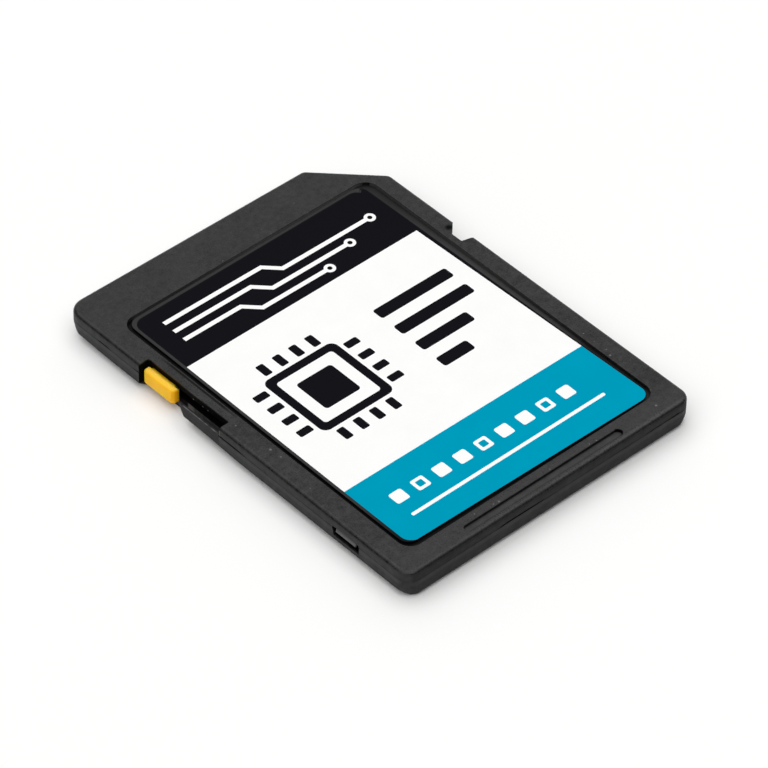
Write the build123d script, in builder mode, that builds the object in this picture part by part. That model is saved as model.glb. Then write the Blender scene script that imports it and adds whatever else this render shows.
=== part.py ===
from build123d import *
import math
import os

os.makedirs("parts", exist_ok=True)

# A flash memory card with a write-protect slider.
# Frame: millimetres, origin at the middle of the back face, +Z out of the label,
# +Y towards the contact end, +X to the right when the label is read upright.

# ---------------------------------------------------------------- driving dimensions
card_w = 24.0            # across, X
card_l = 32.0            # along, Y
card_t = 2.1             # thick, Z
corner_r = 1.0           # the two corners at the plain end
far_corner_r = 1.25      # the plain corner at the contact end
key_cut = 4.0            # the 45 degree corner, measured along each side
key_r = 0.5              # rounding at the two ends of that cut
parting_z = 1.4          # where the two shells meet
parting_bevel = 0.02     # small bevel on both shells along that line
top_round = 0.28         # rounding of the label-side edge
base_round = 0.44        # rounding of the back's end edges
side_bevel_w = 0.65      # long bevel under both long sides, across
side_bevel_h = 0.52      # the same, up the side
# sweep under the contact end: heights, and how far it stands back there
lead_z, lead_mid_z, lead_mid_in, lead_in = 1.33, 0.65, 0.24, 0.95
# taper under the two corners at the plain end, the same way
heel_z, heel_mid_z, heel_mid_in, heel_in = 0.95, 0.50, 0.07, 0.32
hw, hl = card_w / 2, card_l / 2

# cavity between the shells
cav_hw = 10.4            # half width
cav_y0, cav_y1 = -14.55, 14.95
cav_key = 22.7           # x + y along the cut corner
seat_z = 0.74            # floor that carries the board
roof_z = 1.64            # underside of the label-side wall

# label and its recess
# the recess is not quite square either: its four corners before rounding
rec_corners = [(-10.37, -14.29), (10.45, -14.29), (10.62, 12.67), (-10.37, 12.46)]
rec_x0, rec_x1 = -10.37, 10.62
rec_y0, rec_y1 = -14.29, 12.67
rec_r = 0.95
rec_d = 0.28
rec_edge = 0.05
# the film is cut a little out of square: its four corners before rounding, and a bend in its right side
lab_corners = [(-10.09, -13.84), (10.21, -14.08), (10.04, -6.0), (9.915, 12.56), (-10.01, 12.355)]
lab_r = 0.8
lab_t = 0.17

# finger groove by the plain end
grv_x, grv_y = -0.1, -15.25
grv_l, grv_w, grv_d = 13.1, 0.6, 0.16

# write-protect slot, channel, pocket and slider
slot_x = -11.16          # inner face of the slot in the upper shell
slot_y0, slot_y1 = 1.2, 8.83
chan_x = -11.15          # inner face of the channel in the lower shell
chan_wall_x = -11.85     # inner face of the thin outer wall
chan_floor_z = 0.57
# where the left side's bevel begins higher: (along, height) by the thin wall and towards the contact end
foot_rise = [[(-1.6, 0.47), (1.0, 0.605), (2.0, 0.665), (4.75, 0.735)], [(10.8, 0.47), (12.0, 0.53), (14.0, 0.60), (17.0, 0.68)]]
wall_top_z = 1.60        # the thin wall stands up into the slot
gate_y, gate_top_y = 4.53, 4.95   # where the thin wall ends, at its foot and at its top
pock_x = -10.68          # inner face of the tongue pocket
pock_y0, pock_y1 = 1.0, 8.92
pock_z0, pock_z1 = 0.95, 1.60
nub_x0, nub_x1 = -11.80, -11.26
nub_y0, nub_y1 = 5.82, 8.67
nub_z0, nub_z1 = 0.62, 1.72
nub_r = 0.22             # upright corner at the outer face, far end
nub_end_r = 0.30         # upright corner at the end that the finger pushes
nub_top_edge = 0.18
nub_low_edge = 0.12
tng_x1 = -10.75
tng_y0, tng_y1 = 6.30, 8.48
tng_z0, tng_z1 = 1.00, 1.54
slider_travel = 4.45     # towards the plain end

# retention notch in the right side
not_x = 11.05
not_y0, not_in_y0, not_y1, not_y2 = 3.86, 4.12, 5.00, 5.95

# places where the two shells do not quite close: side, then (along, height of the gap)
shell_gaps = [
    ("left", [(-1.6, 0.0), (-1.0, 0.07), (-0.6, 0.11), (1.25, 0.11)]),
    ("left", [(8.70, 0.07), (9.05, 0.06), (9.7, 0.0)]),
    ("left", [(11.5, 0.0), (11.9, 0.09), (12.5, 0.09), (13.1, 0.0)]),
    ("plain end", [(-4.9, 0.0), (-4.3, 0.08), (-3.9, 0.11), (-2.6, 0.11), (-1.0, 0.07), (-0.4, 0.0)]),
    ("plain end", [(4.5, 0.0), (5.0, 0.04), (6.0, 0.04), (6.6, 0.0)]),
    ("plain end", [(7.8, 0.0), (8.8, 0.07), (9.4, 0.04), (10.0, 0.07), (10.6, 0.10), (10.95, 0.02)]),
]
gap_in = 0.12            # how deep the gaps run in

# snap lugs of the upper shell in windows of the lower shell
win_y0, win_y1 = -11.65, -9.2
win_x = 11.38
win_z = 0.82             # sill of the window
win_lean = 0.20          # how far its far end leans in, from the top to the sill
lug_y0, lug_y1 = -11.30, -9.55
lug_z0, lug_z1 = 1.13, 1.58
lug_in = 0.10            # how far the lug's face stands back at its top
lug_side_z = 1.53        # the gaps beside the lug run up to here

# board, contacts and components
brd_hw = 10.25
brd_y0, brd_y1 = -14.3, 14.7
brd_key = 22.45
brd_t = 0.4
pad_t = 0.04
pad_w, pad_l = 1.65, 4.0
pad_y1 = 14.55
rib_clear = 0.18         # window beyond the pad on each side
chan_d = 0.62            # depth of the lead-in channels in front of the pads
contact_x = {
    "contact_1_data3": 6.875,
    "contact_2_command": 4.375,
    "contact_3_ground": 1.875,
    "contact_4_supply": -0.625,
    "contact_5_clock": -3.125,
    "contact_6_ground": -5.625,
}
c7_x, c7_w = -8.05, 1.55
c8_x, c8_w = -9.73, 0.92
c9_x, c9_y1 = 9.35, 11.9
win_back_y = 10.2        # back end of the contact windows
post_r = 0.45            # hold-down posts over the board

# ---------------------------------------------------------------- shared outlines
with BuildSketch() as outline:
    with BuildLine():
        Polyline(
            (-hw, -hl), (hw, -hl), (hw, hl - key_cut), (hw - key_cut, hl), (-hw, hl),
            close=True,
        )
    make_face()
    fillet([v for v in outline.vertices() if abs(abs(v.X) - hw) < 1e-6 and abs(v.Y + hl) < 1e-6], corner_r)
    fillet([v for v in outline.vertices() if abs(v.X + hw) < 1e-6 and abs(v.Y - hl) < 1e-6], far_corner_r)
    fillet([v for v in outline.vertices() if abs(v.X + v.Y - (hw + hl - key_cut)) < 1e-6], key_r)

with BuildSketch() as cavity_plan:
    with BuildLine():
        Polyline(
            (-cav_hw, cav_y0), (cav_hw, cav_y0), (cav_hw, cav_key - cav_hw),
            (cav_key - cav_y1, cav_y1), (-cav_hw, cav_y1),
            close=True,
        )
    make_face()
    fillet(cavity_plan.vertices(), 0.4)

with BuildSketch() as notch_plan:
    with BuildLine():
        Polyline(
            (hw + 0.5, not_y0 - 0.5 * (not_in_y0 - not_y0) / (hw - not_x)), (not_x, not_in_y0), (not_x, not_y1),
            (hw, not_y2), (hw + 0.5, not_y2 + 0.5),
            close=True,
        )
    make_face()
    fillet([v for v in notch_plan.vertices() if abs(v.X - not_x) < 1e-6], 0.12)

# ---------------------------------------------------------------- upper shell
with BuildPart() as upper_shell:
    with BuildSketch(Plane.XY.offset(parting_z)):
        add(outline.sketch)
    extrude(amount=card_t - parting_z)
    # write-protect slot and retention notch break the outline
    with BuildSketch(Plane.XY.offset(parting_z)):
        with Locations(((-hw - 1 + slot_x) / 2, (slot_y0 + slot_y1) / 2)):
            RectangleRounded(slot_x + hw + 1, slot_y1 - slot_y0, 0.14)
    extrude(amount=card_t - parting_z, mode=Mode.SUBTRACT)
    with BuildSketch(Plane.XY.offset(parting_z)):
        add(notch_plan.sketch)
    extrude(amount=card_t - parting_z, mode=Mode.SUBTRACT)
    # soft edge all round the label side, small bevel along the parting line
    top_face = upper_shell.faces().sort_by(Axis.Z)[-1]
    rim = [e for e in top_face.outer_wire().edges()]
    slot_rim = [e for e in rim if e.center().X < -11.05 and slot_y0 - 0.2 < e.center().Y < slot_y1 + 0.2
                and abs(e.center().X + hw) > 1e-4]
    notch_rim = [e for e in rim if e.center().X > 10.9 and not_y0 - 0.05 < e.center().Y < not_y2 + 0.05
                 and abs(e.center().X - hw) > 1e-4]
    plain_rim = [e for e in rim if e not in slot_rim and e not in notch_rim]
    fillet(plain_rim, top_round)
    base_face = upper_shell.faces().sort_by(Axis.Z)[0]
    chamfer([e for e in base_face.outer_wire().edges()
             if abs(abs(e.center().X) - hw) < 1e-4 or abs(abs(e.center().Y) - hl) < 1e-4
             or abs(e.center().X + e.center().Y - (hw + hl - key_cut)) < 1e-4], parting_bevel)
    # gaps along the parting line, thinning out at their ends
    for side, line in shell_gaps:
        edge = [(at, parting_z + max(height, 0.004)) for at, height in line]
        with BuildSketch(Plane.YZ.offset(-hw - 0.1) if side == "left" else Plane.XZ.offset(hl + 0.1)):
            with BuildLine():
                Polyline((line[0][0], parting_z - 0.1), *edge, (line[-1][0], parting_z - 0.1), close=True)
            make_face()
        extrude(amount=0.1 + gap_in if side == "left" else -0.1 - gap_in, mode=Mode.SUBTRACT)
    # cavity over the board
    with BuildSketch(Plane.XY.offset(parting_z)):
        add(cavity_plan.sketch)
    extrude(amount=roof_z - parting_z, mode=Mode.SUBTRACT)
    # hold-down posts that press on the board
    with BuildSketch(Plane.XY.offset(seat_z + brd_t)):
        with Locations((-8.9, 9.6), (6.2, 13.6), (-9.3, -13.3), (9.3, -13.3)):
            Circle(post_r)
    extrude(amount=roof_z - seat_z - brd_t + 0.05)
    # upper half of the pocket for the slider's tongue
    with BuildSketch(Plane.XY.offset(parting_z)):
        with Locations(((slot_x - 0.3 + pock_x) / 2, (pock_y0 + pock_y1) / 2)):
            Rectangle(pock_x - slot_x + 0.3, pock_y1 - pock_y0)
    extrude(amount=pock_z1 - parting_z, mode=Mode.SUBTRACT)
    # recess for the label
    with BuildSketch(Plane.XY.offset(card_t)) as recess_plan:
        with BuildLine():
            Polyline(*rec_corners, close=True)
        make_face()
        fillet(recess_plan.vertices(), rec_r)
    extrude(amount=-rec_d, mode=Mode.SUBTRACT)
    # finger groove
    with BuildSketch(Plane.XY.offset(card_t)):
        with Locations((grv_x, grv_y)):
            SlotOverall(grv_l, grv_w)
    extrude(amount=-grv_d, mode=Mode.SUBTRACT)
    # softened lips of the recess and of the groove
    lips = [e for e in upper_shell.edges()
            if abs(e.center().Z - card_t) < 1e-6
            and ((rec_x0 - 1e-3 < e.center().X < rec_x1 + 1e-3 and rec_y0 - 1e-3 < e.center().Y < rec_y1 + 1e-3)
                 or (abs(e.center().X - grv_x) < grv_l / 2 + 1e-3 and abs(e.center().Y - grv_y) < grv_w / 2 + 1e-3))]
    fillet(lips, rec_edge)
    # snap lugs: the outer face leans, so that it snaps past the window's edge
    for side in (-1, 1):
        with BuildSketch(Plane.XZ.offset(-lug_y1)):
            with BuildLine():
                Polyline(
                    (side * (hw + 0.2), parting_z - 0.3), (side * (hw + 0.2), lug_z1),
                    (side * (hw - lug_in), lug_z1), (side * (hw - lug_in), parting_z - 0.3),
                    close=True,
                )
            make_face()
        extrude(amount=lug_y1 - lug_y0, mode=Mode.SUBTRACT)
        for y0, y1 in ((win_y0 + 0.03, lug_y0 + 0.05), (lug_y1 - 0.05, win_y1 - 0.08)):
            with BuildSketch(Plane.XY.offset(parting_z - 0.1)):
                with Locations((side * (hw + win_x + 0.09 + 0.2) / 2, (y0 + y1) / 2)):
                    Rectangle(hw + 0.2 - win_x - 0.09, y1 - y0)
            extrude(amount=lug_side_z - parting_z + 0.1, mode=Mode.SUBTRACT)
        with BuildSketch(Plane.XZ.offset(-lug_y1)):
            with BuildLine():
                Polyline(
                    (side * (hw - lug_in), lug_z1 + 0.02), (side * (hw - 0.015), lug_z0 + 0.06),
                    (side * (hw - 0.06), lug_z0), (side * (win_x + 0.09), lug_z0),
                    (side * (win_x + 0.09), lug_z1 + 0.02),
                    close=True,
                )
            make_face()
        extrude(amount=lug_y1 - lug_y0)
upper_shell.part.label = "upper_shell"
export_step(upper_shell.part, "parts/upper_shell.step")

# ---------------------------------------------------------------- lower shell
with BuildPart() as lower_shell:
    with BuildSketch():
        add(outline.sketch)
    extrude(amount=parting_z)
    # rounded back edges, then a long bevel under each long side
    fillet(lower_shell.faces().sort_by(Axis.Z)[0].outer_wire().edges(), base_round)
    for side in (-1, 1):
        with BuildSketch(Plane.XZ.offset(-hl - 1)):
            with BuildLine():
                Polyline(
                    (side * (hw - side_bevel_w), 0), (side * hw, side_bevel_h),
                    (side * (hw + 1), side_bevel_h), (side * (hw + 1), -1), (side * (hw - side_bevel_w), -1),
                    close=True,
                )
            make_face()
        extrude(amount=card_l + 2, mode=Mode.SUBTRACT)
    # the contact end sweeps up from the back, so that it leads into a socket
    with BuildSketch(Plane.YZ.offset(-hw - 1)):
        with BuildLine():
            ThreePointArc((hl, lead_z), (hl - lead_mid_in, lead_mid_z), (hl - lead_in, 0))
            Polyline((hl - lead_in, 0), (hl - lead_in, -1), (hl + 1, -1), (hl + 1, lead_z), (hl, lead_z))
        make_face()
    extrude(amount=card_w + 2, mode=Mode.SUBTRACT)
    # the sweep runs out round the plain corner, and the other two corners taper a little:
    # each cut is tangent to the corner, (corner x, corner y, radius, way it faces, share, its three depths)
    cuts = []
    for turn in (15, 30, 45, 60, 75):
        share = math.cos(math.radians(turn))
        cuts.append((-hw + far_corner_r, hl - far_corner_r, far_corner_r, 90 + turn, share,
                     lead_z, lead_mid_z, lead_mid_in, lead_in))
    for side in (-1, 1):
        for turn in (15, 30, 45, 60, 75):
            share = math.sin(math.radians(2 * turn))
            cuts.append((side * (hw - corner_r), -hl + corner_r, corner_r, 270 + side * turn, share,
                         heel_z, heel_mid_z, heel_mid_in, heel_in))
    for cx, cy, r, faces_to, share, z0, z1, in1, in2 in cuts:
        nx, ny = math.cos(math.radians(faces_to)), math.sin(math.radians(faces_to))
        with BuildSketch(Plane(origin=(cx, cy, 0), x_dir=(nx, ny, 0), z_dir=(ny, -nx, 0))):
            with BuildLine():
                ThreePointArc((r, z0), (r - share * in1, z1), (r - share * in2, 0))
                Polyline((r - share * in2, 0), (r - share * in2, -1), (r + 1, -1), (r + 1, z0), (r, z0))
            make_face()
        extrude(amount=5, both=True, mode=Mode.SUBTRACT)
    # retention notch
    with BuildSketch():
        add(notch_plan.sketch)
    extrude(amount=parting_z, mode=Mode.SUBTRACT)
    # small bevel along the parting line
    top_rim = lower_shell.faces().sort_by(Axis.Z)[-1]
    chamfer([e for e in top_rim.outer_wire().edges()
             if abs(abs(e.center().X) - hw) < 1e-4 or abs(abs(e.center().Y) - hl) < 1e-4
             or abs(e.center().X + e.center().Y - (hw + hl - key_cut)) < 1e-4], parting_bevel)
    # tray for the board
    with BuildSketch(Plane.XY.offset(seat_z)):
        add(cavity_plan.sketch)
    extrude(amount=parting_z - seat_z, mode=Mode.SUBTRACT)
    # channel for the slider's nub, behind a thin outer wall
    with BuildSketch(Plane.XY.offset(chan_floor_z)):
        with Locations(((chan_wall_x + chan_x) / 2, (slot_y0 + slot_y1) / 2)):
            Rectangle(chan_x - chan_wall_x, slot_y1 - slot_y0)
    extrude(amount=parting_z - chan_floor_z + 0.1, mode=Mode.SUBTRACT)
    # gate through the side where the nub stands at rest; its lower end leans
    with BuildSketch(Plane.YZ.offset(-hw - 0.5)):
        with BuildLine():
            Polyline(
                (gate_y - (gate_top_y - gate_y) * 0.75 / 0.7, -0.05), (slot_y1, -0.05), (slot_y1, parting_z + 0.05),
                (gate_top_y + 0.03, parting_z + 0.05),
                close=True,
            )
        make_face()
    extrude(amount=chan_x + hw + 0.5, mode=Mode.SUBTRACT)
    # the thin wall stands up into the slot of the upper shell
    with BuildSketch(Plane.YZ.offset(-hw)):
        with BuildLine():
            Polyline(
                (slot_y0 + 0.05, parting_z - 0.05), (gate_top_y - 0.03, parting_z - 0.05),
                (gate_top_y + (wall_top_z - parting_z) * (gate_top_y - gate_y) / 0.7, wall_top_z),
                (slot_y0 + 0.05, wall_top_z),
                close=True,
            )
        make_face()
    extrude(amount=chan_wall_x + hw)
    # the bevel under the left side rises by the thin wall and towards the contact end
    for line in foot_rise:
        for y, z in line:
            with BuildSketch(Plane.XZ.offset(-y)):
                with BuildLine():
                    Polyline(
                        (-hw - 0.5, z + 0.5 * side_bevel_h / side_bevel_w), (-hw + z * side_bevel_w / side_bevel_h, 0),
                        (-hw + z * side_bevel_w / side_bevel_h, -0.5), (-hw - 0.5, -0.5),
                        close=True,
                    )
                make_face()
        loft(ruled=True, mode=Mode.SUBTRACT)
    # lower half of the pocket for the slider's tongue
    with BuildSketch(Plane.XY.offset(pock_z0)):
        with Locations(((chan_x - 0.1 + pock_x) / 2, (pock_y0 + pock_y1) / 2)):
            Rectangle(pock_x - chan_x + 0.1, pock_y1 - pock_y0)
    extrude(amount=parting_z - pock_z0, mode=Mode.SUBTRACT)
    # windows for the snap lugs, each over a sill
    for side in (-1, 1):
        with BuildSketch(Plane.YZ.offset(side * win_x)):
            with BuildLine():
                Polyline(
                    (win_y0, win_z), (win_y1 - win_lean, win_z), (win_y1, parting_z), (win_y1, parting_z + 0.1),
                    (win_y0, parting_z + 0.1),
                    close=True,
                )
            make_face()
        extrude(amount=side * (hw + 0.5 - win_x), mode=Mode.SUBTRACT)
    # contact windows, open to the board
    with BuildSketch():
        for x in contact_x.values():
            with Locations((x, (win_back_y + cav_y1) / 2)):
                Rectangle(pad_w + 2 * rib_clear, cav_y1 - win_back_y)
        with Locations(((c8_x - c8_w / 2 - 0.08 + c7_x + c7_w / 2 + rib_clear) / 2, (win_back_y + cav_y1) / 2)):
            Rectangle(c7_x + c7_w / 2 + rib_clear - c8_x + c8_w / 2 + 0.08, cav_y1 - win_back_y)
        with Locations((c9_x, (c9_y1 - pad_l - 0.3 + c9_y1 + 0.12) / 2)):
            Rectangle(pad_w + 2 * rib_clear, pad_l + 0.42)
    extrude(amount=seat_z + 0.1, mode=Mode.SUBTRACT)
    # lead-in channels from the windows to the card's edge
    with BuildSketch():
        for x in contact_x.values():
            with Locations((x, cav_y1 + 0.5)):
                Rectangle(pad_w + 2 * rib_clear, 1.6)
        with Locations(((c8_x - c8_w / 2 - 0.08 + c7_x + c7_w / 2 + rib_clear) / 2, cav_y1 + 0.5)):
            Rectangle(c7_x + c7_w / 2 + rib_clear - c8_x + c8_w / 2 + 0.08, 1.6)
        with Locations((c9_x, c9_y1 + 2.7)):
            Rectangle(pad_w + 2 * rib_clear, 5.4)
    extrude(amount=chan_d, mode=Mode.SUBTRACT)
lower_shell.part.label = "lower_shell"
export_step(lower_shell.part, "parts/lower_shell.step")

# ---------------------------------------------------------------- write-protect slider
with BuildPart() as write_protect_slider:
    with BuildSketch(Plane.XY.offset(nub_z0)) as nub_plan:
        with Locations(((nub_x0 + nub_x1) / 2, (nub_y0 + nub_y1) / 2)):
            Rectangle(nub_x1 - nub_x0, nub_y1 - nub_y0)
        fillet([v for v in nub_plan.vertices() if v.X < (nub_x0 + nub_x1) / 2 and v.Y > nub_y0 + 1], nub_r)
        fillet([v for v in nub_plan.vertices() if v.X < nub_x0 + 0.01 and v.Y < nub_y0 + 0.01], nub_end_r)
    extrude(amount=nub_z1 - nub_z0)
    fillet(write_protect_slider.faces().sort_by(Axis.Z)[-1].edges(), nub_top_edge)
    fillet([e for e in write_protect_slider.faces().sort_by(Axis.Z)[0].edges() if e.center().X < nub_x1 - 0.01],
           nub_low_edge)
    # tongue that runs between the shells
    with BuildSketch(Plane.XY.offset(tng_z0)):
        with Locations(((nub_x1 - 0.15 + tng_x1) / 2, (tng_y0 + tng_y1) / 2)):
            RectangleRounded(tng_x1 - nub_x1 + 0.15, tng_y1 - tng_y0, 0.1)
    extrude(amount=tng_z1 - tng_z0)
write_protect_slider.part.label = "write_protect_slider"
export_step(write_protect_slider.part, "parts/write_protect_slider.step")

# ---------------------------------------------------------------- label
with BuildPart() as front_label:
    with BuildSketch(Plane.XY.offset(card_t - rec_d)) as label_plan:
        with BuildLine():
            Polyline(*lab_corners, close=True)
        make_face()
        fillet([v for v in label_plan.vertices() if abs(v.Y) > 10], lab_r)
    extrude(amount=lab_t)
front_label.part.label = "front_label"
export_step(front_label.part, "parts/front_label.step")

# ---------------------------------------------------------------- circuit board
with BuildPart() as circuit_board:
    with BuildSketch(Plane.XY.offset(seat_z)):
        with BuildLine():
            Polyline(
                (-brd_hw, brd_y0), (brd_hw, brd_y0), (brd_hw, brd_key - brd_hw),
                (brd_key - brd_y1, brd_y1), (-brd_hw, brd_y1),
                close=True,
            )
        make_face()
    extrude(amount=brd_t)
    fillet(circuit_board.edges().filter_by(Axis.Z), 0.3)
circuit_board.part.label = "circuit_board"
export_step(circuit_board.part, "parts/circuit_board.step")

# ---------------------------------------------------------------- contacts
contacts = [(name, x, pad_w, pad_y1) for name, x in contact_x.items()]
contacts += [
    ("contact_7_data0", c7_x, c7_w, pad_y1),
    ("contact_8_data1", c8_x, c8_w, pad_y1),
    ("contact_9_data2", c9_x, pad_w, c9_y1),
]
for name, x, width, front_y in contacts:
    with BuildPart() as contact:
        with BuildSketch(Plane.XY.offset(seat_z - pad_t)):
            with Locations((x, front_y - pad_l / 2)):
                RectangleRounded(width, pad_l, 0.12)
        extrude(amount=pad_t)
    contact.part.label = name
    export_step(contact.part, "parts/" + name + ".step")

# ---------------------------------------------------------------- components on the board
top_z = seat_z + brd_t
components = [
    # name, centre x, centre y, size x, size y, height, upright corner rounding
    ("controller_chip", 3.6, 5.4, 6.0, 6.0, 0.46, 0.12),
    ("flash_memory_chip", 0.0, -6.6, 12.0, 10.0, 0.46, 0.15),
    ("capacitor_1", -3.4, 7.2, 1.0, 0.5, 0.46, 0.06),
    ("capacitor_2", -3.4, 5.4, 1.0, 0.5, 0.46, 0.06),
    ("capacitor_3", -3.4, 3.6, 1.6, 0.8, 0.46, 0.06),
    ("capacitor_4", 8.3, 4.8, 0.5, 1.0, 0.46, 0.06),
    ("resistor_1", 1.4, 10.2, 0.5, 1.0, 0.34, 0.05),
    ("resistor_2", 2.6, 10.2, 0.5, 1.0, 0.34, 0.05),
    ("resistor_3", 3.8, 10.2, 0.5, 1.0, 0.34, 0.05),
    ("resistor_4", 5.0, 10.2, 0.5, 1.0, 0.34, 0.05),
]
for name, x, y, size_x, size_y, height, edge_r in components:
    with BuildPart() as component:
        with BuildSketch(Plane.XY.offset(top_z)):
            with Locations((x, y)):
                RectangleRounded(size_x, size_y, edge_r)
        extrude(amount=height)
    component.part.label = name
    export_step(component.part, "parts/" + name + ".step")
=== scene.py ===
import math

import bpy
from mathutils import Matrix, Vector
from mathutils.geometry import delaunay_2d_cdt


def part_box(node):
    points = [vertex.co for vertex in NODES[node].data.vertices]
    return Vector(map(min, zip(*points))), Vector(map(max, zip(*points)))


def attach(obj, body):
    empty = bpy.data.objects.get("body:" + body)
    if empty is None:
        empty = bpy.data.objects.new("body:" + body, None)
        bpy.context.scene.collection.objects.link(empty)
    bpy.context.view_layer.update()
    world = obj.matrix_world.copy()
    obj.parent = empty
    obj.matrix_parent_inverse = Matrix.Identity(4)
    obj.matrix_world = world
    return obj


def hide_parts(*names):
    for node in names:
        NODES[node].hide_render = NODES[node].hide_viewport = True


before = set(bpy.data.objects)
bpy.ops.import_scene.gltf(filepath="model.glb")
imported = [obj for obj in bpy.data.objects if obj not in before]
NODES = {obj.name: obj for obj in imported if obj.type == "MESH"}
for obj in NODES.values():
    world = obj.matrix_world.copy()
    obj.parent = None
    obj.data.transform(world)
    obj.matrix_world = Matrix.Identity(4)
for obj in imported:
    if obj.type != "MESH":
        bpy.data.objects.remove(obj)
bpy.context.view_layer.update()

MM = 0.001
scene = bpy.context.scene


# ----------------------------------------------------------------------------
# Node helpers
# ----------------------------------------------------------------------------
class Surface:
    """A material with one Principled shader and short calls for its nodes."""

    def __init__(self, name):
        self.mat = bpy.data.materials.new(name)
        self.mat.use_nodes = True
        self.tree = self.mat.node_tree
        self.tree.nodes.clear()
        self.out = self.tree.nodes.new("ShaderNodeOutputMaterial")
        self.bsdf = self.tree.nodes.new("ShaderNodeBsdfPrincipled")
        self.tree.links.new(self.bsdf.outputs[0], self.out.inputs["Surface"])
        self.coords = self.tree.nodes.new("ShaderNodeTexCoord")
        self._mm = None

    def put(self, socket, value):
        if isinstance(value, bpy.types.NodeSocket):
            self.tree.links.new(value, socket)
        else:
            socket.default_value = value

    def set(self, **values):
        for key, value in values.items():
            self.put(self.bsdf.inputs[key.replace("_", " ")], value)
        return self

    def mm(self):
        """The piece's own coordinates, in millimetres."""
        if self._mm is None:
            n = self.tree.nodes.new("ShaderNodeVectorMath")
            n.operation = "SCALE"
            self.put(n.inputs[0], self.coords.outputs["Object"])
            n.inputs["Scale"].default_value = 1000.0
            self._mm = n.outputs[0]
        return self._mm

    def stretch(self, vector, scale):
        n = self.tree.nodes.new("ShaderNodeVectorMath")
        n.operation = "MULTIPLY"
        self.put(n.inputs[0], vector)
        n.inputs[1].default_value = scale
        return n.outputs[0]

    def noise(self, vector, scale, detail=2.0, rough=0.5, distort=0.0):
        n = self.tree.nodes.new("ShaderNodeTexNoise")
        self.put(n.inputs["Vector"], vector)
        n.inputs["Scale"].default_value = scale
        n.inputs["Detail"].default_value = detail
        n.inputs["Roughness"].default_value = rough
        n.inputs["Distortion"].default_value = distort
        return n.outputs["Fac"]

    def cells(self, vector, scale, feature="F1"):
        n = self.tree.nodes.new("ShaderNodeTexVoronoi")
        n.feature = feature
        self.put(n.inputs["Vector"], vector)
        n.inputs["Scale"].default_value = scale
        return n

    def math(self, op, a, b=0.0, c=0.0, clamp=False):
        n = self.tree.nodes.new("ShaderNodeMath")
        n.operation = op
        n.use_clamp = clamp
        for socket, value in zip(n.inputs, (a, b, c)):
            self.put(socket, value)
        return n.outputs[0]

    def span(self, value, lo, hi, to_lo=0.0, to_hi=1.0, smooth=False):
        n = self.tree.nodes.new("ShaderNodeMapRange")
        n.interpolation_type = "SMOOTHSTEP" if smooth else "LINEAR"
        for key, v in (("Value", value), ("From Min", lo), ("From Max", hi), ("To Min", to_lo), ("To Max", to_hi)):
            self.put(n.inputs[key], v)
        return n.outputs[0]

    def split(self, vector):
        n = self.tree.nodes.new("ShaderNodeSeparateXYZ")
        self.put(n.inputs[0], vector)
        return n.outputs

    def ramp(self, value, stops):
        n = self.tree.nodes.new("ShaderNodeValToRGB")
        self.put(n.inputs[0], value)
        e = n.color_ramp.elements
        while len(e) < len(stops):
            e.new(0.5)
        for item, (at, colour) in zip(e, stops):
            item.position = at
            item.color = (*colour, 1.0)
        return n.outputs["Color"]

    def mix(self, fac, a, b):
        n = self.tree.nodes.new("ShaderNodeMix")
        n.data_type = "RGBA"
        self.put(n.inputs[0], fac)
        for socket, value in ((n.inputs[6], a), (n.inputs[7], b)):
            self.put(socket, value if isinstance(value, bpy.types.NodeSocket) else (*value, 1.0))
        return n.outputs[2]

    def bump(self, height, distance, strength=1.0, below=None):
        n = self.tree.nodes.new("ShaderNodeBump")
        self.put(n.inputs["Height"], height)
        n.inputs["Distance"].default_value = distance
        n.inputs["Strength"].default_value = strength
        if below is not None:
            self.put(n.inputs["Normal"], below)
        return n.outputs[0]


# ----------------------------------------------------------------------------
# Materials
# ----------------------------------------------------------------------------
SPOT = (11.34, 5.62)     # a dark spot on the label side, beside the notch
SLOT_GLINTS = [(4.58, 1.64), (3.68, 1.64), (3.20, 1.64)]     # painted glints, along and up, on the slot's inner face
SPECKS = [(-10.85, -2.30, 0.11), (9.65, -15.05, 0.10), (-3.45, -14.80, 0.09), (10.70, -9.90, 0.09),
          (-3.85, -14.75, 0.06), (-5.30, -14.60, 0.06), (4.70, -14.85, 0.06), (0.80, -14.80, 0.06), (10.85, -7.35, 0.06),
          (-11.05, 0.70, 0.06), (-10.80, -3.20, 0.06), (4.15, -14.80, 0.05), (10.90, -9.35, 0.05)]   # the larger light specks


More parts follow.
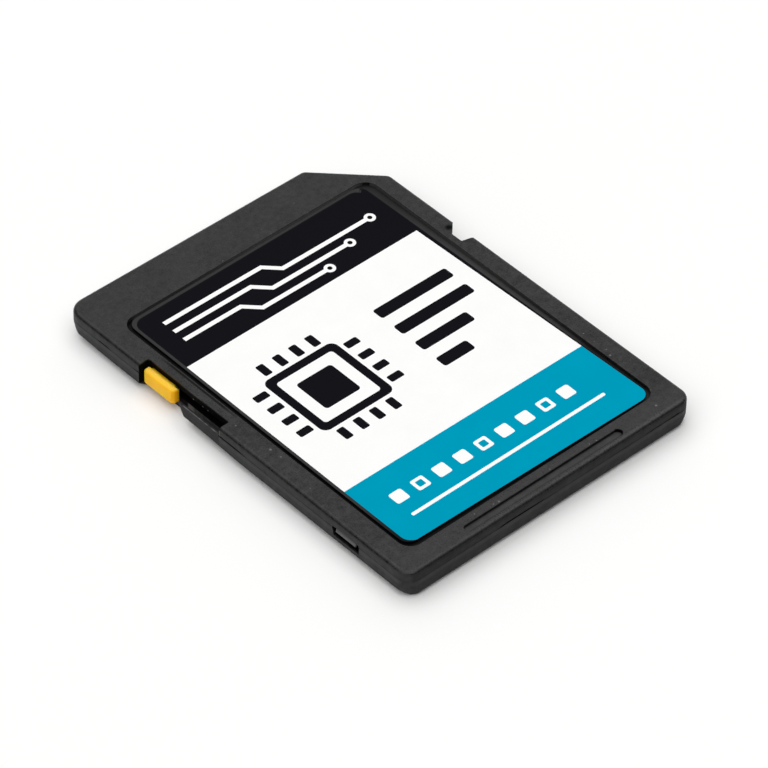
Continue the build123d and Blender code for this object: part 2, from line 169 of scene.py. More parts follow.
def shell_plastic():
    """Black moulded plastic with a fine spark-eroded texture, coarser on the walls, and some dust, with painted light
    and shade on some faces, edges and hollows.
    """
    s = Surface("shell_plastic")
    p = s.mm()
    x, y, z = s.split(p)

    def within(value, lo, hi, soft):
        return s.math("MULTIPLY", s.span(value, lo - soft, lo + soft), s.span(value, hi + soft, hi - soft))

    def all_of(*masks):
        out = masks[0]
        for m in masks[1:]:
            out = s.math("MULTIPLY", out, m)
        return out

    grain = s.noise(p, 8.0, 2.0, 0.6)
    mottle = s.noise(p, 0.42, 3.0, 0.6)
    cloud = s.noise(p, 2.4, 3.0, 0.6)
    tone = s.math("ADD", s.math("MULTIPLY", mottle, 0.28), s.math("MULTIPLY", cloud, 0.38))
    fine = s.math("MULTIPLY", s.math("SUBTRACT", grain, 0.5), s.span(y, 5.0, 14.0, 0.34, 0.17))
    tone = s.math("ADD", s.math("ADD", tone, fine), 0.17)
    colour = s.ramp(tone, [(0.39, (0.0003, 0.0005, 0.0004)), (0.61, (0.0140, 0.0146, 0.0142))])

    # Places that differ: the walls, the plain end, the strip by the groove, the recess's far side.
    across, along = s.math("ABSOLUTE", x), s.math("ABSOLUTE", y)
    outside = s.math("MAXIMUM", s.span(across, 11.90, 11.95), s.span(along, 15.90, 15.95))
    wall = s.span(z, 1.97, 1.89)
    end_wall = all_of(wall, s.span(y, -15.78, -15.90), s.span(z, 1.10, 1.50, 0.55, 1.0))
    thin = all_of(s.span(x, -11.93, -11.96), within(y, 1.2, 4.8, 0.03), within(z, 0.60, 1.70, 0.02))
    crest = all_of(outside, within(z, 1.02, 1.34, 0.08), s.math("SUBTRACT", 1.0, thin))
    strip = all_of(s.span(y, -14.2, -14.5), s.span(z, 1.90, 1.93))
    # Painted highlight along the front top edge, stronger towards the right and broken up by the grain.
    edge_highlight = all_of(within(y, -15.86, -15.64, 0.06), s.span(z, 1.98, 2.03), s.span(x, -3.0, 9.0, 0.40, 1.2))
    from_side = s.math("SUBTRACT", x, s.span(y, -14.29, 12.67, 10.45, 10.62))     # from the recess's far side
    from_end = s.math("SUBTRACT", y, s.span(x, -10.37, 10.62, 12.46, 12.67))      # and from its far end
    far_side = all_of(within(from_side, -0.16, 0.08, 0.02), within(z, 1.83, 2.06, 0.02), s.span(y, -9.0, 3.0))
    far_end = all_of(within(from_end, -0.12, 0.06, 0.02), within(z, 1.83, 2.06, 0.02), within(x, -9.6, 9.9, 0.4))
    colour = s.mix(s.math("MULTIPLY", strip, 0.6), colour, (0.0165, 0.0172, 0.0168))
    colour = s.mix(s.math("MULTIPLY", edge_highlight, s.span(grain, 0.3, 0.7, 0.3, 1.0)), colour, (0.036, 0.037, 0.036))
    # Painted shade: the plain end's wall is darker.
    colour = s.mix(s.math("MULTIPLY", end_wall, 0.62), colour, (0.0022, 0.0024, 0.0023))
    # Painted light: a lighter band on the outer walls just below the parting line, except on the thin wall.
    colour = s.mix(s.math("MULTIPLY", crest, 0.35), colour, (0.0150, 0.0155, 0.0150))
    colour = s.mix(s.math("MULTIPLY", thin, 0.6), colour, (0.0035, 0.0037, 0.0036))
    # Painted light on the recess's far side wall and far end wall, the far end lighter towards the right.
    colour = s.mix(s.math("MULTIPLY", far_side, 0.8), colour, (0.062, 0.063, 0.062))
    colour = s.mix(far_end, colour, s.mix(s.span(x, -5.0, 2.0), (0.065, 0.066, 0.065), (0.135, 0.137, 0.135)))
    # Painted shade: the recess floor is near black; the ledge at its right side gets painted light that fades along it.
    recess_floor = all_of(within(z, 1.80, 1.84, 0.01), within(x, -10.45, 10.60, 0.02), within(y, -14.40, 12.75, 0.02))
    ledge = all_of(s.span(x, 9.3, 9.5), s.span(y, -8.5, -5.5, 0.3, 1.0), s.span(y, 2.0, 10.0, 1.0, 0.42))
    colour = s.mix(recess_floor, colour, s.mix(ledge, (0.0006, 0.0006, 0.0006), (0.024, 0.025, 0.024)))
    pit = all_of(recess_floor, s.math("SUBTRACT", 1.0, ledge))

    # The slot gets painted shade, a near-black colour inside; its sill gets painted light and the outer top edge of the
    # thin wall a painted highlight.
    def any_of(*masks):
        out = masks[0]
        for m in masks[1:]:
            out = s.math("MAXIMUM", out, m)
        return out

    slot = any_of(
        all_of(within(x, -11.84, -11.08, 0.01), within(y, 1.19, 8.86, 0.02), within(z, 0.50, 2.03, 0.04), s.math("SUBTRACT", 1.0, thin)),
        all_of(within(x, -11.99, -11.08, 0.01), within(y, 8.70, 8.86, 0.02), within(z, 0.50, 2.03, 0.04)),
        all_of(within(x, -11.84, -10.60, 0.01), within(y, 0.95, 8.95, 0.02), within(z, 0.50, 1.66, 0.02)),
    )
    # Where the two shells stand a little apart, the gap gets painted shade too.
    gaps = any_of(
        all_of(within(x, -11.985, -11.80, 0.004), any_of(within(y, -1.6, 1.18, 0.05), within(y, 8.90, 9.7, 0.05), within(y, 11.5, 13.1, 0.05))),
        all_of(within(y, -15.985, -15.80, 0.004), any_of(within(x, -4.9, -0.4, 0.05), within(x, 4.5, 6.6, 0.05), within(x, 7.8, 10.95, 0.05))),
    )
    gaps = all_of(gaps, within(z, 1.38, 1.54, 0.01))
    window = all_of(within(across, 11.34, 11.87, 0.02), within(y, -11.68, -9.17, 0.01), within(z, 0.80, 1.56, 0.01))
    sill = all_of(within(x, -11.90, -11.10, 0.01), within(y, 1.15, 5.1, 0.05), within(z, 0.50, 0.94, 0.01))
    wall_top = all_of(within(x, -11.97, -11.83, 0.01), within(y, 1.19, 5.1, 0.02), within(z, 1.53, 1.63, 0.02))
    wall_edge = all_of(within(x, -12.02, -11.96, 0.008), within(y, 1.3, 4.8, 0.15), within(z, 1.55, 1.62, 0.01))
    # Painted shade: near black in the slot, the lug windows and the gaps between the shells.
    colour = s.mix(any_of(slot, window, gaps), colour, (0.0004, 0.0004, 0.0004))
    # Painted light on the sill, broken up by the clouding, and a painted highlight along the outer top edge of the thin
    # wall.
    colour = s.mix(s.math("MULTIPLY", sill, s.span(cloud, 0.35, 0.65, 0.5, 1.0)), colour, (0.100, 0.101, 0.100))
    colour = s.mix(s.math("MULTIPLY", wall_edge, s.span(cloud, 0.38, 0.6, 0.0, 1.0)), colour, (0.110, 0.112, 0.110))

    # Painted highlight up the outer edge at the slot's near end.
    rim = all_of(s.span(x, -11.86, -11.92), within(y, 1.11, 1.20, 0.02), within(z, 1.46, 1.93, 0.04))
    colour = s.mix(rim, colour, (0.055, 0.056, 0.055))
    # Painted glints on the slot's inner face.
    for at_y, at_z in SLOT_GLINTS:
        dy, dz = s.math("SUBTRACT", y, at_y), s.math("SUBTRACT", z, at_z)
        away = s.math("SQRT", s.math("ADD", s.math("MULTIPLY", dy, dy), s.math("MULTIPLY", dz, dz)))
        colour = s.mix(all_of(s.span(away, 0.07, 0.03), within(x, -11.20, -10.60, 0.01)), colour, (0.130, 0.134, 0.124))

    # The snap lugs get a painted reflection, paler near their lower edge; one dark spot sits beside the notch.
    lug = all_of(within(y, -11.32, -9.53, 0.01), within(z, 1.11, 1.60, 0.01), s.span(across, 11.84, 11.86))
    lug = all_of(lug, s.span(z, 1.52, 1.30, 0.12, 1.0), s.span(grain, 0.3, 0.7, 0.8, 1.0))
    colour = s.mix(lug, colour, (0.095, 0.097, 0.096))
    dx, dy = s.math("SUBTRACT", x, SPOT[0]), s.math("SUBTRACT", y, SPOT[1])
    away = s.math("SQRT", s.math("ADD", s.math("MULTIPLY", dx, dx), s.math("MULTIPLY", dy, dy)))
    spot = all_of(s.span(away, 0.37, 0.12), s.span(z, 1.95, 2.0))
    colour = s.mix(spot, colour, (0.0002, 0.0003, 0.0006))

    def dust(scale, keep, small, large, crowd):
        dots = s.cells(p, scale)
        rnd = s.split(dots.outputs["Color"])
        away = s.math("DIVIDE", dots.outputs["Distance"], scale)
        radius = s.math("MULTIPLY_ADD", s.math("POWER", rnd[0], 3.0), large - small, small)
        near = s.span(s.math("DIVIDE", away, radius), 1.0, 0.5, 0.0, 1.0, smooth=True)
        lucky = s.math("ADD", rnd[1], s.math("MULTIPLY_ADD", crowd, 1.6, -0.8))
        return s.math("MULTIPLY", near, s.math("GREATER_THAN", lucky, 1.0 - keep))

    crowd = s.noise(p, 0.23, 2.0, 0.5)
    specks = s.math("MAXIMUM", dust(1.25, 0.50, 0.030, 0.090, crowd), dust(2.3, 0.36, 0.022, 0.055, crowd))
    colour = s.mix(all_of(specks, s.span(z, 2.05, 2.09, 0.0, 0.6)), colour, (0.080, 0.082, 0.079))
    for at_x, at_y, size in SPECKS:
        dx, dy = s.math("SUBTRACT", x, at_x), s.math("SUBTRACT", y, at_y)
        away = s.math("SQRT", s.math("ADD", s.math("MULTIPLY", dx, dx), s.math("MULTIPLY", dy, dy)))
        colour = s.mix(all_of(s.span(away, size, 0.4 * size), s.span(z, 1.90, 1.94)), colour, (0.120, 0.122, 0.118))
    # The finger groove gets painted light on its floor and painted shade on its near lip and right end; its far lip
    # shines less, also as painted shade.
    past = s.math("MAXIMUM", s.math("SUBTRACT", s.math("ABSOLUTE", s.math("ADD", x, 0.1)), 6.25), 0.0)
    beside = s.math("ADD", y, 15.25)
    off = s.math("SQRT", s.math("ADD", s.math("MULTIPLY", past, past), s.math("MULTIPLY", beside, beside)))
    off = s.math("SUBTRACT", off, 0.30)
    groove_floor = all_of(s.span(off, -0.02, -0.12), within(z, 1.92, 1.96, 0.01))
    near_lip = all_of(within(off, -0.18, 0.02, 0.03), s.span(beside, -0.06, -0.11), s.span(z, 1.90, 1.93))
    far_lip = all_of(within(off, -0.03, 0.05, 0.03), s.span(beside, 0.12, 0.24), s.span(z, 1.90, 1.93))
    groove_end = all_of(within(off, -0.03, 0.08, 0.02), s.span(x, 6.10, 6.25), s.span(beside, -0.24, -0.10), s.span(z, 1.90, 1.93))
    colour = s.mix(s.math("MULTIPLY", groove_floor, 0.35), colour, (0.0270, 0.0275, 0.0270))
    colour = s.mix(any_of(s.math("MULTIPLY", near_lip, 0.7), groove_end), colour, (0.0004, 0.0004, 0.0004))
    # Painted light: a lighter band over the upper left wall, outside the slot.
    under = all_of(s.span(x, -11.93, -11.97), within(z, 1.86, 2.00, 0.04), s.math("SUBTRACT", 1.0, slot))
    colour = s.mix(s.math("MULTIPLY", under, 0.5), colour, (0.0220, 0.0225, 0.0220))
    # The texture fades out over the rounded upper edge.
    height = s.math("MULTIPLY_ADD", cloud, 0.6, s.math("SUBTRACT", grain, 0.8))
    height = s.math("MULTIPLY", height, s.math("SUBTRACT", 1.0, s.math("MULTIPLY", within(z, 1.86, 2.06, 0.03), 0.65)))
    rough = s.span(grain, 0.3, 0.7, 0.25, 0.35)
    for place, more in ((wall, 0.25), (end_wall, 0.14), (thin, 0.07), (crest, -0.09), (slot, 0.40), (wall_top, 0.25), (spot, 0.55)):
        rough = s.math("ADD", rough, s.math("MULTIPLY", place, more))
    # A faint dark line runs beside the recess, level with the slot, and hardly shines. The hollows and the recess floor
    # get painted shade in their sheen: the specular tint is turned down there.
    seam = all_of(within(x, -10.62, -10.46, 0.03), within(y, 1.7, 8.0, 0.8), s.span(z, 2.05, 2.09))
    colour = s.mix(seam, colour, (0.0005, 0.0005, 0.0005))
    hollow = s.math("MULTIPLY", any_of(slot, window, gaps), s.math("SUBTRACT", 1.0, s.math("MULTIPLY", sill, 0.6)))
    dull = any_of(s.math("MULTIPLY", hollow, 0.85), s.math("MULTIPLY", spot, 0.85), s.math("MULTIPLY", seam, 0.95), s.math("MULTIPLY", pit, 0.85))
    # Painted shade in the sheen of the groove's lips and right end, and of the top edges at the front and on the left.
    brow = all_of(within(y, -15.94, -15.83, 0.03), s.span(z, 1.95, 1.98), s.span(across, 11.6, 11.4))
    left_brow = all_of(within(x, -11.94, -11.83, 0.03), s.span(z, 1.95, 1.98), s.math("SUBTRACT", 1.0, slot))
    for place, much in ((groove_end, 0.95), (far_lip, 0.45), (near_lip, 0.08), (brow, 0.38), (left_brow, 0.13)):
        dull = any_of(dull, s.math("MULTIPLY", place, much))
    # The sheen is blotchy, more so towards the plain end.
    blotch = s.math("ADD", s.math("MULTIPLY", cloud, 0.45), s.math("MULTIPLY", s.noise(p, 1.1, 2.0, 0.5), 0.30))
    blotch = s.math("ADD", blotch, s.math("MULTIPLY", grain, 0.25))
    sheen = s.math("MULTIPLY_ADD", s.math("SUBTRACT", blotch, 0.5), s.span(y, -2.0, 13.0, 1.7, 0.7), 1.0)
    s.set(Base_Color=colour, Roughness=s.math("MINIMUM", rough, 0.98), Normal=s.bump(height, 6.0e-6))
    s.set(Specular_Tint=s.mix(dull, sheen, (0.03, 0.03, 0.03)))
    s.bsdf.inputs["Specular IOR Level"].default_value = 0.31
    return s.mat


def slider_plastic():
    """Warm yellow moulded plastic, a little translucent, with painted light on its top and painted shade, a deeper
    orange, at the end that is pushed.
    """
    s = Surface("slider_plastic")
    p = s.mm()
    x, y, z = s.split(p)
    cloud = s.noise(p, 1.6, 3.0, 0.55)
    grain = s.noise(p, 10.0, 2.0, 0.55)
    tone = s.math("ADD", s.math("MULTIPLY", cloud, 0.7), s.math("MULTIPLY", grain, 0.3))
    colour = s.ramp(tone, [(0.3, (0.97, 0.48, 0.010)), (0.7, (1.0, 0.55, 0.020))])
    # Painted light: the top is a paler yellow. Painted shade: the pushed end, below the top, is a deeper orange.
    colour = s.mix(s.span(z, 1.62, 1.72), colour, (1.0, 0.56, 0.062))
    colour = s.mix(s.math("MULTIPLY", s.span(y, 6.05, 5.86), s.span(z, 1.70, 1.55)), colour, (1.0, 0.45, 0.006))
    s.set(Base_Color=colour, Roughness=s.span(grain, 0.3, 0.7, 0.34, 0.44), Normal=s.bump(grain, 3.0e-6))
    s.bsdf.inputs["Subsurface Weight"].default_value = 0.8
    s.bsdf.inputs["Subsurface Radius"].default_value = (1.0, 0.5, 0.06)
    s.bsdf.inputs["Subsurface Scale"].default_value = 0.5 * MM
    s.bsdf.inputs["Specular IOR Level"].default_value = 0.12
    return s.mat


def label_ink(name, low, high, gloss, corner=False):
    """Printed film: an even ink coat with a faint paper-like mottle under a satin laminate."""
    s = Surface(name)
    p = s.mm()
    cloud = s.noise(p, 0.5, 3.0, 0.55)
    fibre = s.noise(p, 14.0, 2.0, 0.6)
    tone = s.math("ADD", s.math("MULTIPLY", cloud, 0.55), s.math("MULTIPLY", fibre, 0.45))
    colour = s.ramp(tone, [(0.3, low), (0.7, high)])
    if corner:      # painted shade: the film's bare edge darkens round the corner on the left, by the plain end, in colour and sheen
        x, y, z = s.split(p)
        dim = s.math("MULTIPLY", s.span(x, -8.4, -9.0), s.span(y, -9.0, -12.8, 0.0, 0.85))
        colour = s.mix(dim, colour, (0.0005, 0.0005, 0.0005))
        s.set(Specular_Tint=s.mix(dim, (1.0, 1.0, 1.0), (0.03, 0.03, 0.03)))
    s.set(
        Base_Color=colour,
        Roughness=s.span(cloud, 0.3, 0.7, 0.46, 0.56),
        Normal=s.bump(s.math("ADD", s.math("MULTIPLY", cloud, 2.5), fibre), 1.6e-6),
    )
    s.bsdf.inputs["Specular IOR Level"].default_value = gloss
    return s.mat


def board_laminate():
    """Glass-fibre board under a dark green resist, with its weave just showing."""
    s = Surface("board_laminate")
    p = s.mm()
    xyz = s.split(p)
    warp = s.math("SINE", s.math("MULTIPLY", xyz[0], 13.0))
    weft = s.math("SINE", s.math("MULTIPLY", xyz[1], 13.0))
    weave = s.math("MULTIPLY", warp, weft)
    cloud = s.noise(p, 0.8, 3.0, 0.6)
    tone = s.math("ADD", s.math("MULTIPLY", cloud, 0.8), s.math("MULTIPLY", weave, 0.06))
    s.set(
        Base_Color=s.ramp(tone, [(0.25, (0.004, 0.032, 0.016)), (0.62, (0.010, 0.060, 0.030))]),
        Roughness=s.span(cloud, 0.3, 0.7, 0.28, 0.40),
        Normal=s.bump(weave, 2.0e-6),
    )
    return s.mat


def contact_gold():
    """Gold plate, rubbed along the card by socket springs."""
    s = Surface("contact_gold")
    p = s.mm()
    streak = s.noise(s.stretch(p, (9.0, 0.5, 1.0)), 1.0, 3.0, 0.6)
    hair = s.noise(s.stretch(p, (42.0, 1.1, 1.0)), 1.0, 2.0, 0.5)
    cloud = s.noise(p, 0.9, 3.0, 0.55)
    tone = s.math("ADD", s.math("MULTIPLY", cloud, 0.85), s.math("MULTIPLY", streak, 0.15))
    s.set(
        Base_Color=s.ramp(tone, [(0.3, (0.82, 0.58, 0.23)), (0.7, (0.87, 0.63, 0.27))]),
        Roughness=s.span(s.math("ADD", streak, hair), 0.6, 1.4, 0.27, 0.31),
        Normal=s.bump(hair, 2.5e-8),
    )
    s.bsdf.inputs["Metallic"].default_value = 1.0
    return s.mat


def chip_resin():
    """Dark grey moulding compound with a fine grain."""
    s = Surface("chip_resin")
    p = s.mm()
    grain = s.noise(p, 16.0, 2.0, 0.6)
    cloud = s.noise(p, 0.9, 3.0, 0.6)
    tone = s.math("ADD", s.math("MULTIPLY", cloud, 0.6), s.math("MULTIPLY", grain, 0.4))
    s.set(
        Base_Color=s.ramp(tone, [(0.3, (0.010, 0.010, 0.011)), (0.7, (0.024, 0.024, 0.025))]),
        Roughness=s.span(grain, 0.3, 0.7, 0.55, 0.70),
        Normal=s.bump(grain, 4.0e-6),
    )
    return s.mat


def end_capped(name, body_low, body_high, axis, cap):
    """A chip component: a ceramic body with a tinned cap on each end."""
    s = Surface(name)
    p = s.mm()
    along = s.split(s.coords.outputs["Generated"])[axis]
    ends = s.math("ABSOLUTE", s.math("SUBTRACT", along, 0.5))
    wavy = s.math("MULTIPLY_ADD", s.noise(p, 5.0, 2.0, 0.5), 0.05, -0.025)
    capped = s.math("GREATER_THAN", s.math("ADD", ends, wavy), 0.5 - cap)
    grain = s.noise(p, 12.0, 2.0, 0.6)
    body = s.ramp(grain, [(0.3, body_low), (0.7, body_high)])
    tin = s.ramp(grain, [(0.3, (0.55, 0.55, 0.54)), (0.7, (0.74, 0.74, 0.72))])
    s.set(
        Base_Color=s.mix(capped, body, tin),
        Metallic=capped,
        Roughness=s.span(grain, 0.3, 0.7, 0.32, 0.5),
        Normal=s.bump(grain, 2.0e-6),
    )
    return s.mat


def wear(node, material):
    mesh = NODES[node].data
    mesh.materials.clear()
    mesh.materials.append(material)


SHELL = shell_plastic()
GOLD = contact_gold()
RESIN = chip_resin()
wear("upper_shell", SHELL)
wear("lower_shell", SHELL)
wear("write_protect_slider", slider_plastic())
wear("circuit_board", board_laminate())
for name in NODES:
    if name.startswith("contact_"):
        wear(name, GOLD)
    elif name.endswith("_chip"):
        wear(name, RESIN)
CERAMIC = {}
for name in NODES:
    if name.startswith(("capacitor_", "resistor_")):
        lo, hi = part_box(name)
        axis = 0 if hi.x - lo.x > hi.y - lo.y else 1
        kind = name.split("_")[0]
        if (kind, axis) not in CERAMIC:
            tones = ((0.30, 0.19, 0.10), (0.40, 0.27, 0.15)) if kind == "capacitor" else ((0.012, 0.012, 0.013), (0.03, 0.03, 0.032))
            CERAMIC[kind, axis] = end_capped(f"{kind}_ceramic_{'xy'[axis]}", *tones, axis, 0.24)
        wear(name, CERAMIC[kind, axis])


# ----------------------------------------------------------------------------
# The label: one film whose top is divided into printed fields and simple shapes
# ----------------------------------------------------------------------------
LABEL_CORNERS = [(-10.09, -13.84), (10.21, -14.08), (10.04, -6.0), (9.915, 12.56), (-10.01, 12.355)]
LABEL_R = 0.8
LABEL_Z0, LABEL_Z1, LABEL_EDGE = 1.82, 1.99, 0.016
WHITE, BLACK, TEAL, FILM = 0, 1, 2, 3
# The print stops short of the film's left side and far end, and the film is black along its right side.
PRINT_CORNERS = [(-9.88, -13.842), (10.19, -14.08), (9.53, 12.345), (-9.80, 12.088)]
# The borders of the two bands, each zero on its line.
BORDERS = (
    lambda p: p[1] - 6.81 - 0.0050 * p[0],
    lambda p: p[1] + 7.97 + 0.0040 * p[0],
)


def shrunk(corners, d):
    """The polygon with each side moved inwards."""
    sides = []
    for a, b in zip(corners, corners[1:] + corners[:1]):
        u = (Vector(b) - Vector(a)).normalized()
        sides.append((Vector(a) + Vector((-u.y, u.x)) * d, u))
    out = []
    for (a, u), (b, v) in zip(sides[-1:] + sides[:-1], sides):
        w = b - a
        out.append(tuple(a + u * ((w.x * v.y - w.y * v.x) / (u.x * v.y - u.y * v.x))))
    return out


def rounded(corners, r, steps=12):
    points = []
    for i, c in enumerate(corners):
        c = Vector(c)
        u = (c - Vector(corners[i - 1])).normalized()
        v = (Vector(corners[(i + 1) % len(corners)]) - c).normalized()
        bend = math.atan2(u.x * v.y - u.y * v.x, u.dot(v))
        start = c - u * r * math.tan(bend / 2)
        middle = start + Vector((-u.y, u.x)) * r
        a0 = math.atan2(start.y - middle.y, start.x - middle.x)
        for k in range(steps + 1):
            a = a0 + bend * k / steps
            points.append((middle.x + r * math.cos(a), middle.y + r * math.sin(a)))
    return points


def round_rect(x0, y0, x1, y1, r, steps=10):
    points = []
    for cx, cy, a0 in ((x1 - r, y1 - r, 0), (x0 + r, y1 - r, 90), (x0 + r, y0 + r, 180), (x1 - r, y0 + r, 270)):
        for i in range(steps + 1):
            a = math.radians(a0 + 90.0 * i / steps)
            points.append((cx + r * math.cos(a), cy + r * math.sin(a)))
    return points


def disc(cx, cy, r, steps=40):
    return [(cx + r * math.cos(2 * math.pi * i / steps), cy + r * math.sin(2 * math.pi * i / steps)) for i in range(steps)]


def line(points, width):
    """The outline of a line of the given width along the points, with mitred bends."""
    left, right = [], []
    for i, (x, y) in enumerate(points):
        before = Vector(points[i]) - Vector(points[i - 1]) if i else None
        after = Vector(points[i + 1]) - Vector(points[i]) if i + 1 < len(points) else None
        a = (before or after).normalized()
        b = (after or before).normalized()
        n = Vector((-a.y - b.y, a.x + b.x))
        n = n.normalized() * (width / 2) / max(0.2, math.sqrt((1 + a.dot(b)) / 2))
        left.append((x + n.x, y + n.y))
        right.append((x - n.x, y - n.y))
    return left + right[::-1]


SHAPES = []
# Upper band: parallel lines that step down at 45 degrees and end in rings.
for k, (x_bend, x_end) in enumerate(((-0.2, 8.0), (-1.9, 5.4), (-3.6, 2.8))):
    y = 10.75 - 0.98 * k
    drop = 0.98
    SHAPES.append((WHITE, line([(-8.3, y), (x_bend, y), (x_bend + drop, y - drop), (x_end, y - drop)], 0.34)))
    SHAPES.append((WHITE, disc(x_end + 0.25, y - drop, 0.40)))
    SHAPES.append((BLACK, disc(x_end + 0.25, y - drop, 0.17, 24)))
# Middle field: a square chip outline with pins, and bars of falling length beside it.
cx, cy, half = -4.35, -0.35, 2.95
SHAPES.append((BLACK, round_rect(cx - half, cy - half, cx + half, cy + half, 0.55)))
SHAPES.append((WHITE, round_rect(cx - half + 0.62, cy - half + 0.62, cx + half - 0.62, cy + half - 0.62, 0.25)))
SHAPES.append((BLACK, round_rect(cx - 1.45, cy - 1.45, cx + 1.45, cy + 1.45, 0.25)))
for k in range(4):
    t = (k - 1.5) * 1.35
    for pin in (
        (cx + t - 0.3, cy + half + 0.28, cx + t + 0.3, cy + half + 1.35),
        (cx + t - 0.3, cy - half - 1.35, cx + t + 0.3, cy - half - 0.28),
        (cx + half + 0.28, cy + t - 0.3, cx + half + 1.35, cy + t + 0.3),
        (cx - half - 1.35, cy + t - 0.3, cx - half - 0.28, cy + t + 0.3),
    ):
        SHAPES.append((BLACK, round_rect(*pin, 0.12, 4)))
for k, length in enumerate((6.2, 6.2, 4.4, 2.6)):
    y = 2.55 - 1.95 * k
    SHAPES.append((BLACK, round_rect(2.35, y - 0.48, 2.35 + length, y + 0.48, 0.2, 6)))
# Lower band: a row of small squares over a thin rule.
for k in range(9):
    x = -8.1 + 1.75 * k
    SHAPES.append((WHITE, round_rect(x, -10.9, x + 1.0, -9.9, 0.16, 5)))
    if k % 3 == 1:
        SHAPES.append((TEAL, round_rect(x + 0.24, -10.66, x + 0.76, -10.14, 0.08, 4)))
SHAPES.append((WHITE, round_rect(-8.1, -12.22, 8.1, -11.96, 0.1, 4)))


def inside(point, polygon):
    x, y = point
    hit = False
    j = len(polygon) - 1
    for i in range(len(polygon)):
        (xi, yi), (xj, yj) = polygon[i], polygon[j]
        if (yi > y) != (yj > y) and x < (xj - xi) * (y - yi) / (yj - yi) + xi:
            hit = not hit
        j = i
    return hit


PRINT = rounded(PRINT_CORNERS, LABEL_R)


def field(point):
    top, low = (f(point) for f in BORDERS)
    if not inside(point, PRINT):
        beyond = point[0] - 10.19 + 0.02498 * (point[1] + 14.08)
        return BLACK if beyond > max(0.0, point[1] - 12.2) and point[1] > -8.0 else FILM
    ink = BLACK if top > 0 else TEAL if low < 0 else WHITE
    for colour, polygon in SHAPES:
        if inside(point, polygon):
            ink = colour
    return ink


def build_label():
    e = LABEL_EDGE
    rim = rounded(LABEL_CORNERS, LABEL_R)
    top = rounded(shrunk(LABEL_CORNERS, e), LABEL_R - e)
    # Both rings get a point where a border meets them.
    cuts = []
    for i, a in enumerate(top):
        b = top[(i + 1) % len(top)]
        for k, f in enumerate(BORDERS):
            if f(a) * f(b) < 0:
                cuts.append((i, f(a) / (f(a) - f(b)), k))
    cuts.sort()

    def with_cuts(ring):
        out, ends = [], {}
        for i, a in enumerate(ring):
            b = ring[(i + 1) % len(ring)]
            out.append(a)
            for _, t, k in (c for c in cuts if c[0] == i):
                ends.setdefault(k, []).append(len(out))
                out.append((a[0] + (b[0] - a[0]) * t, a[1] + (b[1] - a[1]) * t))
        return out, ends

    rim, _ = with_cuts(rim)
    top, ends = with_cuts(top)
    points, edges = [Vector(v) for v in top], [(i, (i + 1) % len(top)) for i in range(len(top))]
    edges += [tuple(pair) for pair in ends.values()]
    margin = [v for v in PRINT[13:] + PRINT[:13] if inside((v[0] * 1.0006, v[1] * 1.0006), top)]
    k = len(points)
    points += [Vector(v) for v in margin]
    edges += [(k + i, k + i + 1) for i in range(len(margin) - 1)]
    for _, polygon in SHAPES:
        k = len(points)
        points += [Vector(v) for v in polygon]
        edges += [(k + i, k + (i + 1) % len(polygon)) for i in range(len(polygon))]
    flat, _, tris, came_from, *_ = delaunay_2d_cdt(points, edges, [], 0, 1e-5)
    verts = [(v.x * MM, v.y * MM, LABEL_Z1 * MM) for v in flat]
    faces, inks = [], []
    for t in tris:
        a, b, c = (flat[i] for i in t)
        centre = (a + b + c) / 3
        if (b - a).cross(c - a) < 0:
            t = t[::-1]
        faces.append(tuple(t))
        inks.append(field((centre.x, centre.y)))
    index = {k: i for i, sources in enumerate(came_from) for k in sources}
    ring_top = [index[k] for k in range(len(top))]
    ring_rim = list(range(len(verts), len(verts) + len(rim)))
    verts += [(x * MM, y * MM, (LABEL_Z1 - e) * MM) for x, y in rim]
    ring_low = list(range(len(verts), len(verts) + len(rim)))
    verts += [(x * MM, y * MM, LABEL_Z0 * MM) for x, y in rim]
    count = len(rim)
    for i in range(count):
        j = (i + 1) % count
        faces += [(ring_top[i], ring_rim[i], ring_rim[j], ring_top[j]), (ring_rim[i], ring_low[i], ring_low[j], ring_rim[j])]
        near = rim[j][0] - rim[i][0] > 3 * abs(rim[j][1] - rim[i][1])
        inks += [FILM, FILM if near else BLACK]
    faces.append(tuple(ring_low[::-1]))
    inks.append(FILM)
    mesh = bpy.data.meshes.new("printed_label")
    mesh.from_pydata(verts, [], faces)
    for ink, material in (
        (WHITE, label_ink("label_white", (0.88, 0.88, 0.875), (0.92, 0.92, 0.915), 0.06)),
        (BLACK, label_ink("label_black", (0.0022, 0.0019, 0.0042), (0.0036, 0.0032, 0.0058), 0.03)),
        (TEAL, label_ink("label_teal", (0.0, 0.288, 0.442), (0.0, 0.314, 0.478), 0.0)),
        (FILM, label_ink("label_film", (0.0080, 0.0083, 0.0080), (0.0140, 0.0144, 0.0140), 0.26, corner=True)),
    ):
        mesh.materials.append(material)
    mesh.polygons.foreach_set("material_index", inks)
    mesh.update()
    piece = bpy.data.objects.new("printed_label", mesh)
    scene.collection.objects.link(piece)
    return piece


label = build_label()
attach(label, "card")
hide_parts("front_label")


# ----------------------------------------------------------------------------
# Stage, light and camera
# ----------------------------------------------------------------------------
def build_floor():
    s = Surface("floor_white")
    p = s.mm()
    s.set(Base_Color=s.ramp(s.noise(p, 0.02, 2.0, 0.5), [(0.3, (0.915, 0.915, 0.912)), (0.7, (0.925, 0.925, 0.922))]))
    s.bsdf.inputs["Roughness"].default_value = 0.9
    s.bsdf.inputs["Specular IOR Level"].default_value = 0.0
    size = 1.5
    mesh = bpy.data.meshes.new("floor")
    mesh.from_pydata([(-size, -size, -2e-6), (size, -size, -2e-6), (size, size, -2e-6), (-size, size, -2e-6)], [], [(0, 1, 2, 3)])
    mesh.materials.append(s.mat)
    floor = bpy.data.objects.new("floor", mesh)
    scene.collection.objects.link(floor)
    return floor


build_floor()

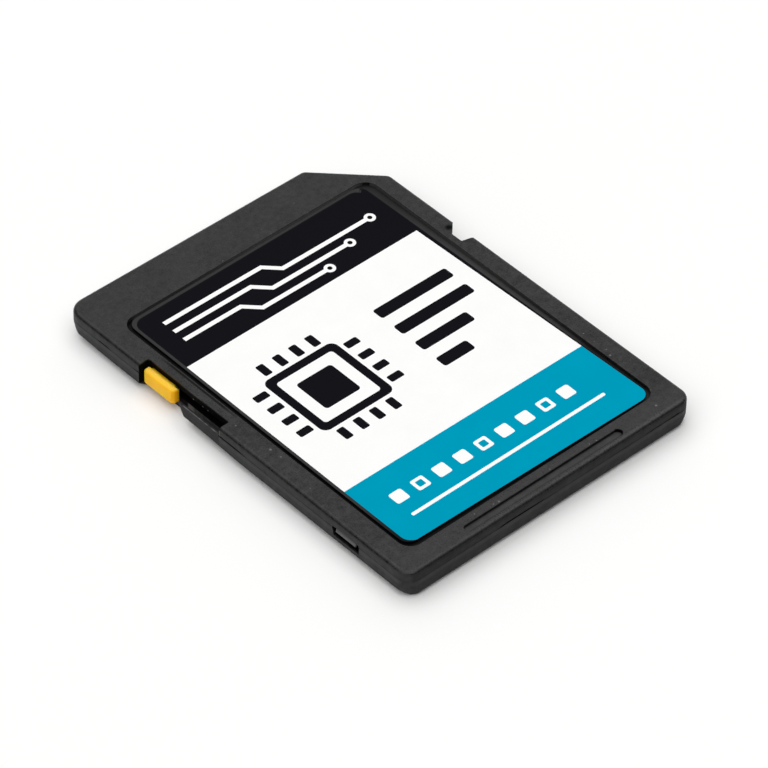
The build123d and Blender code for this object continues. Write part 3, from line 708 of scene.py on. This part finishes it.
world = bpy.data.worlds.new("light_tent")
scene.world = world
world.use_nodes = True
wt = world.node_tree
wt.nodes.clear()
w_out = wt.nodes.new("ShaderNodeOutputWorld")
w_bg = wt.nodes.new("ShaderNodeBackground")
w_co = wt.nodes.new("ShaderNodeTexCoord")
def sky(level, lobes):
    """The light around the object: an even level and soft-edged boxes of light, each (axis, half angle inside, half angle outside, strength)."""
    total = None
    for axis, inner, outer, gain in lobes:
        dot = wt.nodes.new("ShaderNodeVectorMath")
        dot.operation = "DOT_PRODUCT"
        dot.inputs[1].default_value = Vector(axis).normalized()
        wt.links.new(w_co.outputs["Generated"], dot.inputs[0])
        span = wt.nodes.new("ShaderNodeMapRange")
        span.interpolation_type = "SMOOTHSTEP"
        lo, hi = math.cos(math.radians(outer)), math.cos(math.radians(inner))
        for key, v in (("From Min", lo), ("From Max", hi), ("To Min", 0.0), ("To Max", gain)):
            span.inputs[key].default_value = v
        wt.links.new(dot.outputs["Value"], span.inputs["Value"])
        add = wt.nodes.new("ShaderNodeMath")
        add.operation = "ADD"
        wt.links.new(span.outputs[0], add.inputs[0])
        if total is None:
            add.inputs[1].default_value = level
        else:
            wt.links.new(total, add.inputs[1])
        total = add.outputs[0]
    floor = wt.nodes.new("ShaderNodeMath")
    floor.operation = "MAXIMUM"
    wt.links.new(total, floor.inputs[0])
    floor.inputs[1].default_value = 0.01
    return floor.outputs[0]


wt.links.new(sky(0.403, [
    ((-0.203, -0.035, 1.0), 39.9, 55.2, 1.41),     # the large box overhead
    ((0.68, 0.73, 0.55), 15.0, 55.0, 0.50),         # the pale wall behind
    ((-0.93, -0.10, 0.36), 6.0, 34.0, 0.55),        # a low box on the left
    ((-0.683, 0.532, 0.42), 15.0, 52.0, -0.36),     # the unlit sides
    ((0.50, -0.683, 0.42), 20.0, 65.0, -0.36),
    ((-0.68, -0.73, 0.45), 15.0, 48.0, -0.36),
]), w_bg.inputs["Strength"])
w_bg.inputs["Color"].default_value = (1.0, 1.0, 0.995, 1.0)
wt.links.new(w_bg.outputs[0], w_out.inputs["Surface"])

view = scene.view_settings
view.view_transform = "Standard"
view.look = "None"
view.exposure = 0.0
view.gamma = 1.0

cam = bpy.data.cameras.new("photo_camera")
cam.sensor_width = 36.0
cam.lens = 225.2875382394997
cam.clip_start = 0.01
cam.clip_end = 10.0
camera = bpy.data.objects.new("photo_camera", cam)
scene.collection.objects.link(camera)
turn = Matrix((
    (0.7399973353236624, 0.45050523375070617, -0.49944867411687194),
    (-0.6723923747923628, 0.5143594080838226, -0.5322808409446528),
    (0.017100819716211104, 0.7297118840192214, 0.6835408753587108),
))
camera.matrix_world = Matrix.Translation((-0.15049368696737464, -0.16111102674283972, 0.20574253279595778)) @ turn.to_4x4()
scene.camera = camera
